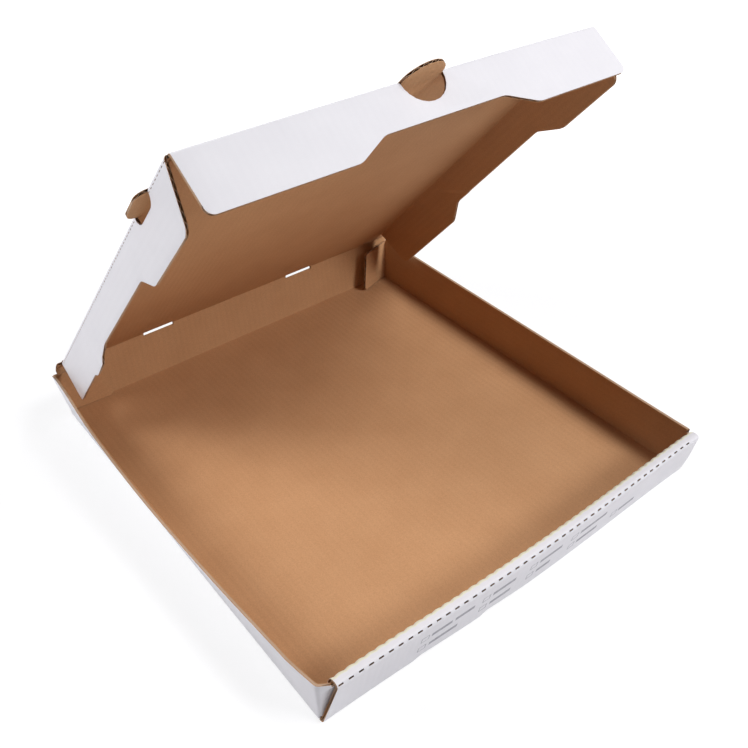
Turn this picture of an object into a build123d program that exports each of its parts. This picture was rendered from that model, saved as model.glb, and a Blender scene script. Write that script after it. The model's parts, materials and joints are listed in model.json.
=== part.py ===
from build123d import *
import math
import os

# A take-away pizza box folded from one blank of corrugated board, lid part open. All lengths in mm.
# The floor stands on z = 0 and the front wall looks towards minus y.

# Board and folds
board = 2.8
fold_gap = 0.3
crease_gap = 0.5
fold_radius = 1.7
turn_clear = 2.7

# Tray
tray_width = 406.0
tray_depth = 407.0
wall_top = 47.8
side_spring = 6.0
side_clear = 3.1

# Double front wall, rolled over and leaning out at the top
strip_top = 47.4
strip_width = 9.0
front_lean = 8.0
left_end_low = 2.0
left_end_high = 7.5
right_end_low = 0.5
right_end_high = 3.5
inner_end = 6.0
lock_tab_width = 52.0
lock_tab_place = 118.0
lock_tab_foot = 0.5
lock_slot_extra = 0.8

# Side walls lean out by these amounts at the top, from the front to the rear
left_leans = [5.4, 13.5, 17.0, 15.5, 9.0]
right_leans = [0.6, 1.8, 3.0, 4.2, 5.4]
lean_shares = [-0.914, -0.45, 0.05, 0.55]
front_flap_reach = 45.0
front_flap_taper = 9.0

# Back wall and lid hinge
hinge_height = 49.6
back_lean = 10.0
back_end_low = 1.0
left_end_rise = 3.0
right_end_rise = 7.0
back_corner_drop = 6.0
hinge_slot_width = 34.5
hinge_slot_places = [-93.5, 82.5]
hinge_slot_depth = 2.2
hinge_slot_in_lid = 1.6

# Lid, measured along the panel from the hinge line
lid_reach = 405.0
lid_open = 51.1
lid_half_front = 194.6
lid_half_rear_left = 198.6
lid_half_rear_right = 196.6
lid_tongue = 9.0
lid_tongue_half = 204.0
lid_corner = 3.0

# Flaps of the lid: depth of the ears and of the shallow middle
ear_depth = 45.0
waist_depth = 32.0
front_flap_half = 192.4
front_flap_foot = 184.0
front_waist_half = 56.3
front_ear_half = 83.6
front_waist_offset = 8.5
side_front = 403.0
side_front_foot = 388.5
left_step_front = 306.0
left_waist_front = 287.0
right_step_front = 317.0
right_waist_front = 291.5
side_waist_rear = 153.0
side_step_rear = 133.0
side_rear_foot = 26.0
side_rear = 14.0
ear_corner = 6.0
step_corner = 3.0

# Vents: a half-round tab in front and a low one on each side stay in the plane of the lid
vent_radius = 19.7
vent_centre = 4.6
vent_play = 0.5
side_vent_front = 362.0
side_vent_rear = 324.0
side_vent_depth = 9.5
side_vent_corner = 4.0

# Rear corner flaps
rear_flap_reach = 44.0
rear_flap_top = 44.6
rear_flap_lift = 0.6
rear_flap_corner = 1.5
rear_flap_taper = 3.0
left_rear_angle = 2.0
right_rear_angle = 18.0

half_width = tray_width / 2
half_depth = tray_depth / 2
half_board = board / 2
knuckle_clear = half_board + crease_gap
front_y = half_board - half_depth
back_y = half_depth - half_board
strip_z = strip_top - half_board
front_slope = front_lean / (strip_z - half_board)
back_slope = back_lean / (hinge_height - half_board)
hinge_y = back_y + back_lean
hinge_axis = Axis((0, hinge_y, hinge_height), (1, 0, 0))


def folded(points):
    """The board's section along a folded centre line."""
    return trace(FilletPolyline(*points, radius=fold_radius), line_width=board)


def block(x_low, x_high, y_low, y_high, z_low, z_high):
    """A plain block between two values on each axis, used to trim and to cut."""
    size = (x_high - x_low, y_high - y_low, z_high - z_low)
    middle = ((x_low + x_high) / 2, (y_low + y_high) / 2, (z_low + z_high) / 2)
    return Pos(*middle) * Box(*size)


def outer_centre(z):
    """Where the centre of the outer front panel is at a height."""
    return front_y - front_slope * (z - half_board)


def back_centre(z):
    """Where the centre of the back wall is at a height."""
    return back_y + back_slope * (z - half_board)


# Front wall, floor and back wall are one folded strip, drawn from the side.
spacing = strip_width - board
inner_foot = board + fold_gap
strip_line = [
    (outer_centre(inner_foot) + spacing, inner_foot),
    (outer_centre(strip_z) + spacing, strip_z),
    (outer_centre(strip_z), strip_z),
    (front_y, half_board),
    (back_y, half_board),
    (hinge_y, hinge_height),
]
tray = extrude(Plane.YZ * folded(strip_line), amount=half_width - back_end_low, both=True)
tray -= block(-tray_width, tray_width, 0, tray_depth, hinge_height - knuckle_clear, hinge_height + tray_width)

# The floor stops where the side folds begin, and the inner front panel stops short of the corners.
side_start = outer_centre(side_spring) + board + 2 * fold_gap
rear_axis_low = back_centre(side_spring) - board - fold_gap
rear_stop_low = rear_axis_low - turn_clear
floor_half = half_width - side_clear
for side in (-1, 1):
    edge = side * floor_half
    beyond = side * tray_width
    low, high = min(edge, beyond), max(edge, beyond)
    tray -= block(low, high, side_start - half_board, rear_stop_low, -board, wall_top + board)

# The ends of the rolled front wall taper towards the strip, the right one less.
front_ends = {-1: (left_end_low, left_end_high), 1: (right_end_low, right_end_high)}
for side in (-1, 1):
    end_low, end_high = front_ends[side]
    low_end = side * (half_width - end_low)
    high_end = side * (half_width - end_high)
    beyond = side * tray_width
    end_profile = Polyline(
        (low_end, fold_radius + half_board),
        (high_end, strip_top),
        (high_end, strip_top + board),
        (beyond, strip_top + board),
        (beyond, -board),
        (low_end, -board),
        close=True,
    )
    end_cut = extrude(Plane.XZ * make_face(end_profile), amount=tray_depth)
    tray -= end_cut & block(-tray_width, tray_width, -tray_depth, front_y + board, -board, tray_width)
    inner_low = side * (half_width - inner_end)
    low, high = min(inner_low, beyond), max(inner_low, beyond)
    tray -= block(low, high, front_y + spacing - front_lean, side_start, inner_foot / 2, strip_top - board)

# Two locking tabs of the inner front panel go down into slots in the floor.
tab_line = [
    (outer_centre(lock_tab_foot) + spacing, lock_tab_foot),
    (outer_centre(side_spring) + spacing, side_spring),
]
tab_section = trace(Line(*tab_line), line_width=board)
for side in (-1, 1):
    middle = side * lock_tab_place
    slot_half = lock_tab_width / 2 + lock_slot_extra
    slot_y = outer_centre(half_board) + spacing
    slot_reach = half_board + lock_slot_extra / 2
    slot_ends = (middle - slot_half, middle + slot_half)
    tray -= block(*slot_ends, slot_y - slot_reach, slot_y + slot_reach, -board, board)
    tab = extrude(Plane.YZ * tab_section, amount=lock_tab_width / 2, both=True)
    tray += Pos(middle, 0, 0) * tab


def wall_face(side, y_low, y_high, lean):
    """The section of a side wall: upright edges at the fold, leaning out towards the top."""
    outer = side * half_width
    inner = side * (half_width - board)
    shift = side * lean
    corners = [
        (outer, y_low, side_spring),
        (inner, y_low, side_spring),
        (inner + shift, y_high, wall_top),
        (outer + shift, y_high, wall_top),
    ]
    return make_face(Polyline(*corners, close=True))


def side_wall(side, leans):
    """A side wall with its bottom fold, its front corner fold and the flap locked in the front wall."""
    centre = side * (half_width - half_board)
    fold_line = [
        (side * (floor_half - side_spring), half_board),
        (centre, half_board),
        (centre, side_spring),
    ]
    fold_face = Plane.XZ * folded(fold_line)
    fold = extrude(fold_face, amount=tray_depth, both=True)
    wall = fold & block(-tray_width, tray_width, side_start, rear_stop_low, -board, tray_width)
    rear_top = rear_stop_low + back_slope * (wall_top - side_spring)
    start = lean_shares[0] * half_depth
    faces = []
    for share, lean in zip(lean_shares, leans):
        place = share * half_depth
        faces.append(wall_face(side, place, place, lean))
    faces.append(wall_face(side, rear_stop_low, rear_top, leans[-1]))
    wall += loft(faces)
    corner_y = outer_centre(side_spring) + board + fold_gap
    corner_line = [
        (centre, start + front_flap_reach),
        (centre, corner_y),
        (centre - side * tray_width / 4, corner_y),
    ]
    rise = wall_top - side_spring
    lean_out = Vector(side * leans[0], -front_slope * rise, rise)
    corner_face = Plane.XY.offset(side_spring) * folded(corner_line)
    corner = extrude(corner_face, amount=lean_out.length, dir=lean_out)
    corner_limit = block(-tray_width, tray_width, -tray_depth, start, 0, tray_width)
    flap_end = side * (half_width - front_flap_reach)
    flap_foot = side * (half_width - front_flap_reach + front_flap_taper)
    inner_side = side * (half_width - front_ends[side][1])
    keep = Polyline(
        (side * tray_width, 0),
        (flap_foot, 0),
        (flap_end, side_spring + front_flap_taper),
        (flap_end, strip_top - board - fold_gap),
        (inner_side, strip_top - board - fold_gap),
        (inner_side, tray_width),
        (side * tray_width, tray_width),
        close=True,
    )
    wall += corner & corner_limit & extrude(Plane.XZ * make_face(keep), amount=tray_depth)
    return wall


tray += side_wall(-1, left_leans)
tray += side_wall(1, right_leans)

# The back wall spreads with the side walls and its top corners fall away.
back_top = hinge_height - knuckle_clear
back_line = Line((back_y, half_board), (hinge_y, hinge_height))
back_sheet = extrude(Plane.YZ * trace(back_line, line_width=board), amount=tray_width, both=True)
for side, end_rise in ((-1, left_end_rise), (1, right_end_rise)):
    low_end = side * (half_width - back_end_low)
    high_end = side * (half_width + end_rise)
    inner_start = side * (half_width - 2 * end_rise - back_corner_drop)
    spread = Polyline(
        (inner_start, side_spring),
        (low_end, side_spring),
        (high_end, back_top - back_corner_drop),
        (high_end - side * back_corner_drop, back_top),
        (inner_start, back_top),
        close=True,
    )
    tray += back_sheet & extrude(Plane.XZ * make_face(spread), amount=-tray_depth)
for place in hinge_slot_places:
    slot_low = place - hinge_slot_width / 2
    slot_high = place + hinge_slot_width / 2
    tray -= block(slot_low, slot_high, back_y, tray_depth, back_top - hinge_slot_depth, hinge_height)


def along(x, reach, drop):
    """A point of the closed lid: across, along the panel from the hinge line, and down from its middle."""
    return (x, hinge_y - reach, hinge_height - drop)


def opened(shape):
    """Turn a piece built on the closed lid to the angle of the photo."""
    return shape.rotate(hinge_axis, -lid_open)


def side_half(side, reach):
    """Half width of the lid at a distance from the hinge line."""
    rear = lid_half_rear_left if side < 0 else lid_half_rear_right
    return rear + (lid_half_front - rear) * reach / lid_reach


def side_plane(side):
    """A plane in the middle of a side flap: x runs along its crease from the hinge line and y hangs down."""
    rear = Vector(*along(side * side_half(side, 0), 0, 0))
    front = Vector(*along(side * side_half(side, lid_reach), lid_reach, 0))
    run = (front - rear).normalized()
    down = Vector(0, 0, -1)
    return Plane(origin=rear, x_dir=run, z_dir=run.cross(down))


def rounded(points, radii):
    """A closed outline with its own radius at each corner, zero where it stays sharp."""
    shape = make_face(Polyline(*points, close=True))
    for point, radius in zip(points, radii):
        if radius > 0:
            near = shape.vertices().sort_by_distance((point[0], point[1], 0))[0]
            shape = fillet(near, radius)
    return shape


def hanging(plane, outline, crease_line):
    """A flap: flat board with a round edge along its crease."""
    body = extrude(plane * outline, amount=half_board, both=True)
    return body + crease_line


# Lid panel: its edges stop short of the creases, and the vent tabs reach past them.
panel_points = [
    (-side_half(-1, lid_reach) + knuckle_clear, lid_reach - knuckle_clear),
    (side_half(1, lid_reach) - knuckle_clear, lid_reach - knuckle_clear),
    (side_half(1, lid_tongue) - knuckle_clear, lid_tongue),
    (lid_tongue_half, lid_tongue),
    (lid_tongue_half, 0),
    (-lid_tongue_half, 0),
    (-lid_tongue_half, lid_tongue),
    (-side_half(-1, lid_tongue) + knuckle_clear, lid_tongue),
]
flat_plane = Plane(origin=along(0, 0, 0), x_dir=(1, 0, 0), z_dir=(0, 0, -1))
panel_outline = rounded(panel_points, [lid_corner, lid_corner, 0, lid_corner, 0, 0, lid_corner, 0])
tab_radius = vent_radius - vent_play
front_tab = Pos(vent_centre, lid_reach) * Circle(tab_radius)
front_tab += Pos(vent_centre, lid_reach - knuckle_clear / 2) * Rectangle(2 * tab_radius, knuckle_clear)
tab_limit = Pos(0, lid_reach + vent_radius - 2 * knuckle_clear) * Rectangle(tray_width, 2 * vent_radius)
panel_outline += front_tab & tab_limit
vent_length = side_vent_front - side_vent_rear
vent_middle = (side_vent_front + side_vent_rear) / 2
for side in (-1, 1):
    tab_reach = side_vent_depth - vent_play + 2 * knuckle_clear
    tab_place = side * (side_half(side, vent_middle) - 2 * knuckle_clear + tab_reach / 2)
    tab_size = (tab_reach, vent_length - 2 * vent_play)
    panel_outline += Pos(tab_place, vent_middle) * RectangleRounded(*tab_size, side_vent_corner)
panel = extrude(flat_plane * panel_outline, amount=half_board, both=True)
hinge_roll = Pos(*along(0, 0, 0)) * Rot(0, 90, 0) * Cylinder(half_board, 2 * lid_tongue_half)
panel += hinge_roll
for place in hinge_slot_places:
    slot_low = place - hinge_slot_width / 2
    slot_high = place + hinge_slot_width / 2
    cut_y = hinge_y - hinge_slot_in_lid
    panel -= block(slot_low, slot_high, cut_y, tray_depth, hinge_height - board, hinge_height + board)
lid_panel = opened(panel)

# Front flap of the lid, with the hole that the half-round vent tab leaves.
waist_left = front_waist_offset - front_waist_half
waist_right = front_waist_offset + front_waist_half
ear_left = front_waist_offset - front_ear_half
ear_right = front_waist_offset + front_ear_half
front_points = [
    (-front_flap_half, 0),
    (-front_flap_foot - ear_corner, ear_depth),
    (ear_left, ear_depth),
    (waist_left, waist_depth),
    (waist_right, waist_depth),
    (ear_right, ear_depth),
    (front_flap_foot + ear_corner, ear_depth),
    (front_flap_half, 0),
]
front_radii = [0, ear_corner, step_corner, step_corner, step_corner, step_corner, ear_corner, 0]
front_hang = Plane(origin=along(0, lid_reach, 0), x_dir=(1, 0, 0), z_dir=(0, 1, 0))
front_outline = rounded(front_points, front_radii)
front_roll = Pos(*along(0, lid_reach, 0)) * Rot(0, 90, 0) * Cylinder(half_board, 2 * front_flap_half)
front_flap = hanging(front_hang, front_outline, front_roll)
vent_hole = Pos(*along(vent_centre, lid_reach, 0)) * Rot(90, 0, 0) * Cylinder(vent_radius, 2 * board)
front_flap -= vent_hole
lid_front_flap = opened(front_flap)


step_fronts = {-1: (left_step_front, left_waist_front), 1: (right_step_front, right_waist_front)}


def side_flap(side):
    """A side flap of the lid: two deep ears, a shallow middle and the hole of its vent tab."""
    plane = side_plane(side)
    step_front, waist_front = step_fronts[side]
    points = [
        (side_front, 0),
        (side_front_foot, ear_depth),
        (step_front, ear_depth),
        (waist_front, waist_depth),
        (side_waist_rear, waist_depth),
        (side_step_rear, ear_depth),
        (side_rear_foot, ear_depth),
        (side_rear, 0),
    ]
    radii = [0, ear_corner, step_corner, step_corner, step_corner, step_corner, ear_corner, 0]
    length = side_front - side_rear
    roll_place = Pos((side_front + side_rear) / 2, 0, 0) * Rot(0, 90, 0)
    roll = plane * (roll_place * Cylinder(half_board, length))
    flap = hanging(plane, rounded(points, radii), roll)
    hole_size = (vent_length, 2 * side_vent_depth)
    hole = extrude(Pos(vent_middle, 0) * RectangleRounded(*hole_size, side_vent_corner), amount=board, both=True)
    return opened(flap - plane * hole)


lid_left_flap = side_flap(-1)
lid_right_flap = side_flap(1)


def rear_flap(side, lean, angle):
    """A corner flap on the rear edge of a side wall, turned away from the back wall by an angle."""
    run = half_width - half_board
    foot = Vector(side * run, rear_axis_low, side_spring)
    rise = wall_top - side_spring
    top = Vector(side * (run + lean), rear_axis_low + back_slope * rise, wall_top)
    axis = (top - foot).normalized()
    wall_up = Vector(0, back_slope, 1).normalized()
    wall_in = Vector(1, 0, 0).cross(wall_up)
    inward = wall_in.cross(axis) * side
    inward = inward.normalized()
    if inward.X * side > 0:
        inward = inward * -1
    plane = Plane(origin=foot, x_dir=inward, z_dir=inward.cross(axis))
    local_up = plane.y_dir
    rise_x = inward.Z
    rise_y = local_up.Z

    def at(reach, z):
        return (reach, (z - side_spring - reach * rise_x) / rise_y)

    low = board + rear_flap_lift
    points = [
        at(0, low),
        at(rear_flap_reach - rear_flap_taper, low),
        at(rear_flap_reach, low + 2 * rear_flap_corner),
        at(rear_flap_reach - rear_flap_taper, rear_flap_top),
        at(0, rear_flap_top),
    ]
    radii = [0, 0, 0, rear_flap_corner, 0]
    outline = rounded(points, radii)
    low_y = points[0][1]
    high_y = points[-1][1]
    body = extrude(plane * outline, amount=half_board, both=True)
    roll_place = Pos(0, (low_y + high_y) / 2, 0) * Rot(90, 0, 0)
    body += plane * (roll_place * Cylinder(half_board, high_y - low_y))
    turn = Axis(foot, axis)
    return body.rotate(turn, side * angle), foot, axis


left_rear_flap, left_foot, left_axis = rear_flap(-1, left_leans[-1], left_rear_angle)
right_rear_flap, right_foot, right_axis = rear_flap(1, right_leans[-1], right_rear_angle)

pieces = {
    "base_tray": tray,
    "lid_panel": lid_panel,
    "lid_front_flap": lid_front_flap,
    "lid_left_flap": lid_left_flap,
    "lid_right_flap": lid_right_flap,
    "left_rear_flap": left_rear_flap,
    "right_rear_flap": right_rear_flap,
}

os.makedirs("parts", exist_ok=True)
for name, shape in pieces.items():
    box = shape.bounding_box()
    solids = shape.solids()
    print(name, len(solids), "solid", round(shape.volume / 1000, 1), "cm3")
    print("  from", [round(v, 1) for v in box.min], "to", [round(v, 1) for v in box.max])
    export_step(solids[0] if len(solids) == 1 else shape, f"parts/{name}.step")
for name, foot, axis in (("left", left_foot, left_axis), ("right", right_foot, right_axis)):
    print(name, "rear fold", [round(v, 3) for v in foot], [round(v, 5) for v in axis])
print("lid hinge", round(hinge_y, 3), hinge_height)
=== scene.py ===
import cmath
import json
import math
import bmesh
import bpy
from mathutils import Matrix, Vector, noise
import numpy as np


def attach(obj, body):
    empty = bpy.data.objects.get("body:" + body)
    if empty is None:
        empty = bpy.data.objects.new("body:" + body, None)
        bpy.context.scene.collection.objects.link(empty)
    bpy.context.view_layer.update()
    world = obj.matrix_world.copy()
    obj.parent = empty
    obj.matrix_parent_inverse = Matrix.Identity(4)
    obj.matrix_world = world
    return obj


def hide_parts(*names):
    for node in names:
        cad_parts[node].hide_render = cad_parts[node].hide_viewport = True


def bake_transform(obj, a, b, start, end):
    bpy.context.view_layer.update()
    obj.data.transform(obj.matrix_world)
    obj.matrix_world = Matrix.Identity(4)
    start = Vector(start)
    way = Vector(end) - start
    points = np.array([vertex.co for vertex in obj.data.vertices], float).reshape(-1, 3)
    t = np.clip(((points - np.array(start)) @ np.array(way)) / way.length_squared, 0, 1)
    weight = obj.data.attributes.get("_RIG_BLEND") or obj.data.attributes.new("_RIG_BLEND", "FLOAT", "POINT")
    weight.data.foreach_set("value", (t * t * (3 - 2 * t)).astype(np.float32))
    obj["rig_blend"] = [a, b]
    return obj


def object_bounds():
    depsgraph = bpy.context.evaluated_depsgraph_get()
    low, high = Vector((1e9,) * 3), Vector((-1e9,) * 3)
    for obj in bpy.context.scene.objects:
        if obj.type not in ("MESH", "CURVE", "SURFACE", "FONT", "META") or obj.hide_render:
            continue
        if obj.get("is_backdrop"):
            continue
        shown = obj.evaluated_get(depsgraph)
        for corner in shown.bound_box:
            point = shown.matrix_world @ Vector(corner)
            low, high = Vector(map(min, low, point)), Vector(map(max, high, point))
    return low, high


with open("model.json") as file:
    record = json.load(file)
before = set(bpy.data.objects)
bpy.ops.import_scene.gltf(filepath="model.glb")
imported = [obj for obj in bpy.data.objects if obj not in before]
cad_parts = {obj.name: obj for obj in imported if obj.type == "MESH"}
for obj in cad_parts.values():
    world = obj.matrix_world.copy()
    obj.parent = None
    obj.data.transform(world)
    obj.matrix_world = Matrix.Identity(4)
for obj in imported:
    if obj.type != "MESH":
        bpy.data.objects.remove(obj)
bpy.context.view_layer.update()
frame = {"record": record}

# Tray strip. The middle of the blank is one band of corrugated board, white outside and brown inside.
# Its front rolls over into a double wall with a flat top, held by two tabs that drop into floor slots,
# and its rear stands up as the back wall. Lengths here and below are in mm on the flat blank.
millimetre = 0.001
board = 2.8
half_board = board / 2
paper = 0.28
rim_width = 0.9
rim_crush = 0.15
flute_pitch = 6.4
flute_steps = 8
along_flutes = 0.1
fold_radius = 1.7
fold_steps = 5
corner_steps = 6
cut_tolerance = 0.001
joint_tolerance = 0.3
tray_width = 406.0
tray_depth = 407.0
strip_top = 47.4
strip_width = 9.0
front_lean = 8.0
front_foot_rise = 3.0
back_lean = 10.0
back_corner_drop = 6.5
back_corner_radius = 3.0
floor_half = 199.9
floor_lip_inset = 1.0
floor_swell = 0.5
floor_swell_size = 90.0
floor_swell_edge = 40.0
front_ends = {-1: (201.0, 195.5), 1: (208.5, 203.0)}
front_corner_radius = {-1: 3.0, 1: 16.0}
back_ends = {-1: (204.5, 205.0), 1: (210.0, 209.0)}
back_foot_inset = {-1: 2.5, 1: 0.6}
inner_half = 197.0
lock_tab_width = 52.0
lock_tab_place = 118.0
lock_tab_drop = 2.6
lock_tab_corner = 2.0
lock_slot_play = 0.8
side_spring = 6.0
fold_gap = 0.3
crease_inset = 3.0
hinge_inset = 4.0
perforation_pitch = 8.64
perforation_length = 4.2
perforation_width = 0.6
perforation_first = -192.65
perforation_count = 45
scallop = 1.2
scallop_reach = 2.6
front_bow = 4.0
front_bow_reach = 160.0
front_dents = [(-113.0, 2.0), (-47.0, 2.6)]
dent_height = 12.0
dent_rise = 7.0
dent_fade = 42.0

folds = {joint["name"]: joint for joint in frame["record"]["behaviour"]["joints"]}
hinge = Vector(folds["lid_hinge"]["pos_m"]) / millimetre
front_y = half_board - tray_depth / 2
back_y = tray_depth / 2 - half_board
strip_z = strip_top - half_board
front_slope = front_lean / (strip_z - half_board)
back_slope = back_lean / (hinge.z - half_board)
strip_spacing = strip_width - board


def outer_centre(z):
    """Where the middle of the outer front panel is at a height."""
    return front_y - front_slope * (z - half_board)


def back_centre(z):
    """Where the middle of the back wall is at a height."""
    return back_y + back_slope * (z - half_board)


def fold_path(corners, radius, inside=1):
    """A folded centre line in a plane, as complex numbers.

    Gives the place of any run and depth along it, where its bends lie, and its length.
    """
    spans = []
    bends = []
    point = corners[0]
    run = 0.0
    for index in range(1, len(corners)):
        corner = corners[index]
        heading = (corner - corners[index - 1]) / abs(corner - corners[index - 1])
        last = index == len(corners) - 1
        turn = 0.0 if last else cmath.phase((corners[index + 1] - corner) / heading)
        tangent = radius * math.tan(abs(turn) / 2)
        end = corner - heading * tangent
        spans.append((run, point, heading, 0.0))
        run += ((end - point) / heading).real
        if turn:
            spans.append((run, end, heading, math.copysign(1 / radius, turn)))
            bends.append((run, run + radius * abs(turn)))
            run += radius * abs(turn)
            point = corner + heading * cmath.exp(1j * turn) * tangent

    def place(at, depth=0.0):
        start, origin, heading, bend = next((span for span in reversed(spans) if at >= span[0]), spans[0])
        turned = cmath.exp(1j * bend * (at - start))
        moved = heading * (turned - 1) / (1j * bend) if bend else heading * (at - start)
        return origin + moved + inside * 1j * heading * turned * depth

    return place, bends, run


def steps(low, high, spacing):
    """Evenly spaced places from low to high, ends left out, no further apart than the spacing."""
    count = max(1, math.ceil((high - low) / spacing))
    return [low + (high - low) * index / count for index in range(1, count)]


def fold_lines(bends):
    """Where the rows of a sheet go so that its bends come out round."""
    return [low + (high - low) * index / fold_steps for low, high in bends for index in range(fold_steps + 1)]


def cut_sheet(outline, across, along, holes=(), joined=None):
    """A flat sheet cut to an outline of (across, along, corner radius), with a narrow rim the die crushed."""
    sheet = bmesh.new()
    corners = [sheet.verts.new((u, s, 0)) for u, s, radius in outline]
    sheet.faces.new(corners)
    for corner, (u, s, radius) in zip(corners, outline):
        if radius:
            bmesh.ops.bevel(sheet, geom=[corner], offset=radius, offset_type="OFFSET", segments=corner_steps,
                            profile=0.5, affect="VERTICES", material=-1)
    sheet.normal_update()
    bmesh.ops.inset_region(sheet, faces=sheet.faces[:], thickness=rim_width,
                           use_boundary=True, use_even_offset=True)
    lines = [(Vector((1, 0, 0)), place) for place in across]
    lines += [(Vector((0, 1, 0)), place) for place in along]
    for left, right, low, high in holes:
        lines += [(Vector((1, 0, 0)), left), (Vector((1, 0, 0)), right)]
        lines += [(Vector((0, 1, 0)), low), (Vector((0, 1, 0)), high)]
    for normal, place in lines:
        everything = sheet.verts[:] + sheet.edges[:] + sheet.faces[:]
        bmesh.ops.bisect_plane(sheet, geom=everything, dist=cut_tolerance,
                               plane_co=normal * place, plane_no=normal)
    rim = sheet.verts.layers.float.new("rim")
    sealed = sheet.verts.layers.float.new("sealed")
    for vert in sheet.verts:
        free = joined is None or not joined(vert.co.x, vert.co.y)
        vert[rim] = 1.0 if vert.is_boundary and free else 0.0
        edges = [edge for edge in vert.link_edges if edge.is_boundary]
        spans = [edge.verts[1].co - edge.verts[0].co for edge in edges]
        shut = edges and all(abs(span.x) < along_flutes * abs(span.y) for span in spans)
        vert[sealed] = 1.0 if shut else 0.0
    opened = []
    for face in sheet.faces:
        middle = face.calc_center_median()
        if any(left < middle.x < right and low < middle.y < high for left, right, low, high in holes):
            opened.append(face)
    bmesh.ops.delete(sheet, geom=opened, context="FACES")
    return sheet


def add_paper(whole, sheet, low, high, slot, edge_slot, place, wave=0.0):
    """One paper layer of the board: the flat sheet thickened from one depth to another, folded and joined on.

    A wavy layer is squeezed solid along the edges that run with the flutes, as the die leaves it.
    """
    layer = sheet.copy()
    rim = layer.verts.layers.float["rim"]
    sealed = layer.verts.layers.float["sealed"]
    lifts = {}
    for vert in layer.verts:
        crushed = 1 - rim_crush * vert[rim]
        solid = wave and vert[sealed]
        at = -wave if solid else low + wave * math.sin(math.tau * vert.co.x / flute_pitch)
        vert.co.z = crushed * at
        lifts[tuple(vert.co)] = 2 * wave * crushed if solid else high - low
    made = bmesh.ops.extrude_face_region(layer, geom=layer.faces[:])
    raised = {item for item in made["geom"] if isinstance(item, bmesh.types.BMVert)}
    for vert in raised:
        vert.co.z += lifts[tuple(vert.co)]
    flat_map = layer.loops.layers.uv.new("flat")
    for face in layer.faces:
        face.material_index = edge_slot if any(vert in raised for vert in face.verts) else slot
        for loop in face.loops:
            loop[flat_map].uv = (loop.vert.co.x * millimetre, loop.vert.co.y * millimetre)
    for vert in layer.verts:
        vert.co = Vector(place(*vert.co)) * millimetre
    bmesh.ops.recalc_face_normals(layer, faces=layer.faces[:])
    holder = bpy.data.meshes.new("layer")
    layer.to_mesh(holder)
    whole.from_mesh(holder)
    bpy.data.meshes.remove(holder)
    layer.free()


def ripple(x, y, size, height):
    """A slow swell of the board, never below zero."""
    return height * (0.5 + 0.5 * noise.noise(Vector((x / size, y / size, 0))))


def node(tree, kind, inputs=(), **settings):
    """A shader node with its settings and input values."""
    made = tree.nodes.new(kind)
    for key, value in settings.items():
        setattr(made, key, value)
    for key, value in dict(inputs).items():
        if isinstance(value, bpy.types.NodeSocket):
            tree.links.new(value, made.inputs[key])
        else:
            made.inputs[key].default_value = value
    return made


def board_surface_group():
    """The paper surface over the flutes: a washboard height, cloudy mottling and fibre specks."""
    group = bpy.data.node_groups.new("board_surface", "ShaderNodeTree")
    for label, value in (("Pitch", flute_pitch * millimetre), ("Cloud Size", 0.05), ("Speck Size", 0.0012)):
        socket = group.interface.new_socket(label, in_out="INPUT", socket_type="NodeSocketFloat")
        socket.default_value = value
    for label in ("Height", "Flute", "Cloud", "Speck", "Fibre"):
        group.interface.new_socket(label, in_out="OUTPUT", socket_type="NodeSocketFloat")
    ends = node(group, "NodeGroupInput"), node(group, "NodeGroupOutput")
    flat = node(group, "ShaderNodeUVMap", uv_map="flat").outputs[0]
    spread = node(group, "ShaderNodeSeparateXYZ", {0: flat})
    bent = node(group, "ShaderNodeTexNoise", {"Vector": flat, "Scale": 14.0, "Detail": 2.0})
    bent = node(group, "ShaderNodeMath", {0: bent.outputs["Fac"], 1: 0.0012}, operation="MULTIPLY")
    across = node(group, "ShaderNodeMath", {0: spread.outputs["X"], 1: bent.outputs[0]}, operation="ADD")
    turns = node(group, "ShaderNodeMath", {0: across.outputs[0], 1: ends[0].outputs["Pitch"]},
                 operation="DIVIDE")
    angle = node(group, "ShaderNodeMath", {0: turns.outputs[0], 1: math.tau}, operation="MULTIPLY")
    flute = node(group, "ShaderNodeMath", {0: angle.outputs[0]}, operation="SINE")
    rate = node(group, "ShaderNodeMath", {0: 1.0, 1: ends[0].outputs["Cloud Size"]}, operation="DIVIDE")
    cloud = node(group, "ShaderNodeTexNoise",
                 {"Vector": flat, "Scale": rate.outputs[0], "Detail": 5.0, "Roughness": 0.6})
    speck_rate = node(group, "ShaderNodeMath", {0: 1.0, 1: ends[0].outputs["Speck Size"]}, operation="DIVIDE")
    speck = node(group, "ShaderNodeTexNoise", {"Vector": flat, "Scale": speck_rate.outputs[0], "Detail": 2.0})
    long_way = node(group, "ShaderNodeVectorMath", {0: flat, 1: (1.0, 0.6, 1.0)}, operation="MULTIPLY")
    fibre = node(group, "ShaderNodeTexNoise",
                 {"Vector": long_way.outputs[0], "Scale": 900.0, "Detail": 3.0, "Roughness": 0.7})
    low = node(group, "ShaderNodeMath", {0: flute.outputs[0], 1: 0.5}, operation="MULTIPLY")
    height = node(group, "ShaderNodeMath", {0: fibre.outputs["Fac"], 1: low.outputs[0]}, operation="ADD")
    group.links.new(height.outputs[0], ends[1].inputs["Height"])
    group.links.new(flute.outputs[0], ends[1].inputs["Flute"])
    for label, source in (("Cloud", cloud), ("Speck", speck), ("Fibre", fibre)):
        group.links.new(source.outputs["Fac"], ends[1].inputs[label])
    return group


board_surface = board_surface_group()
paper_sheen = 0.25
worn_share = 0.8
worn_yellow = (0.78, 0.765, 0.56, 1)


def toned(tree, colour, tone):
    """A colour multiplied by a grey level."""
    return node(tree, "ShaderNodeMix", {0: 1.0, 6: colour, 7: tone}, data_type="RGBA", blend_type="MULTIPLY")


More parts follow.
